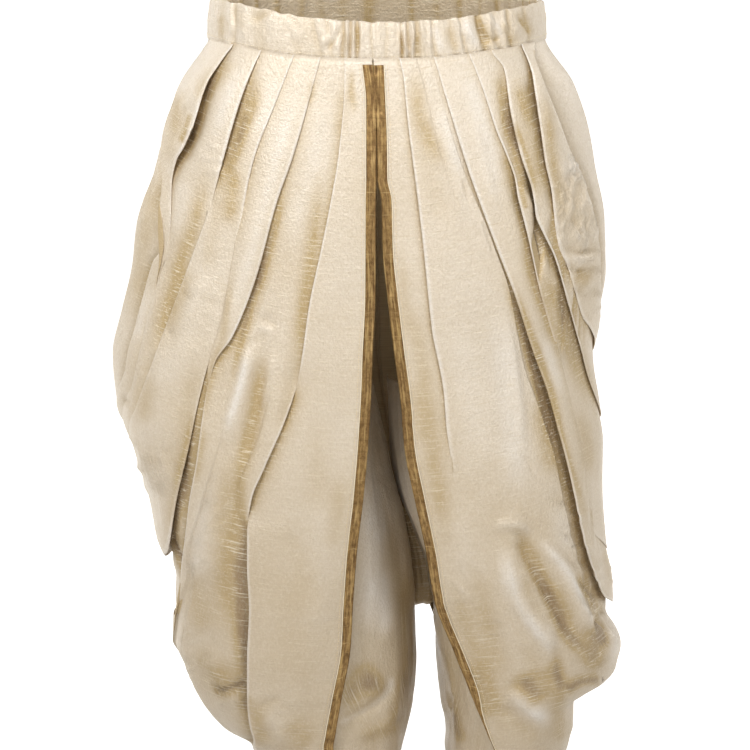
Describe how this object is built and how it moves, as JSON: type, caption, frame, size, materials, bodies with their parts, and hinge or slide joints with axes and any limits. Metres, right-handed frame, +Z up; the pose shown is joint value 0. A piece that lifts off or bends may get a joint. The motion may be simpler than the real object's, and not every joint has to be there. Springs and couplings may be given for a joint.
{
  "type": "dhoti pants",
  "caption": "Pleated dhoti pants in worn form: gathered waistband, fanned front drapes with gold edge tape, cowled sides, low crotch and narrow ankle cuffs.",
  "frame": {"origin": "middle of the waist, level with the waistband's seam at the sides, where the wearer's waist holds the garment", "axes": "+Z up along the height, -Y towards the front that the wearer faces, +X towards the wearer's left"},
  "size_m": [0.5664, 0.3222, 1.011],
  "materials": {
    "silk": "satin",
    "gold_tape": "metallic"
  },
  "bodies": {
    "root": {"waistband": "silk", "right_front_drape": "silk", "left_front_drape": "silk", "right_border": "gold_tape", "left_border": "gold_tape", "right_back": "silk", "left_back": "silk", "right_inner_leg": "silk", "left_inner_leg": "silk", "crotch_gusset": "silk", "right_cuff": "silk", "left_cuff": "silk"}
  },
  "joints": []
}
